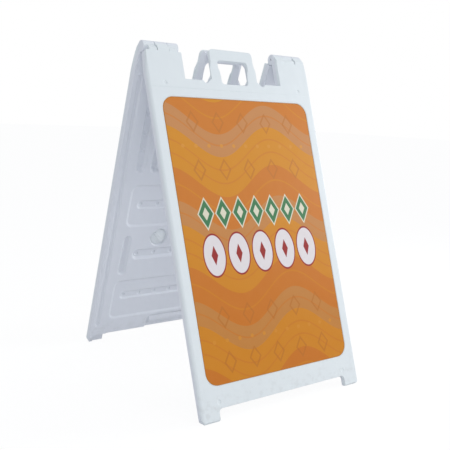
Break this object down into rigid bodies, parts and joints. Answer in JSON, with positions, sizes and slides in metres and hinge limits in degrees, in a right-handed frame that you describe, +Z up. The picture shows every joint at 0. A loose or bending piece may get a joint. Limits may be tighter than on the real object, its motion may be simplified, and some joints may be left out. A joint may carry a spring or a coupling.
{
  "type": "a-frame sign",
  "caption": "Folding a-frame pavement sign: two hollow moulded panels hinged at two top towers, with carrying handles, feet and a printed sheet on each outer face.",
  "frame": {"origin": "on the ground, midway between the four feet and under the hinge axis", "axes": "+Z up, X across the sign along the hinge axis, -Y towards the front panel's printed face"},
  "size_m": [0.635, 0.8334, 1.073],
  "materials": {
    "panel_plastic": "satin white blow-moulded polyethylene with a fine moulded grain",
    "pin_steel": "plain drawn rod",
    "printed_sheet": "smooth print in amber, burnt orange and brown",
    "cap_plastic": "satin white moulded plastic",
    "seal_rubber": "matt black rubber"
  },
  "bodies": {
    "front": {"front_panel": "panel_plastic", "left_hinge_pin": "pin_steel", "right_hinge_pin": "pin_steel", "front_graphic": "printed_sheet"},
    "rear": {"rear_panel": "panel_plastic", "rear_graphic": "printed_sheet"},
    "front_cap": {"front_filler_cap": "cap_plastic", "front_cap_seal": "seal_rubber"},
    "rear_cap": {"rear_filler_cap": "cap_plastic", "rear_cap_seal": "seal_rubber"}
  },
  "joints": [
    {"name": "fold", "type": "hinge", "parent": "front", "child": "rear", "pos_m": [0, 0, 1.05606], "axis": [-1, 0, 0], "range_deg": [0, 40.6]},
    {"name": "front_cap_turn", "type": "hinge", "parent": "front", "child": "front_cap", "pos_m": [0.102, -0.2405, 0.42319], "axis": [0, 0.9379, -0.3469], "range_deg": [0, 90]},
    {"name": "rear_cap_turn", "type": "hinge", "parent": "rear", "child": "rear_cap", "pos_m": [-0.102, 0.2405, 0.42319], "axis": [0, -0.9379, -0.3469], "range_deg": [0, 90]}
  ]
}
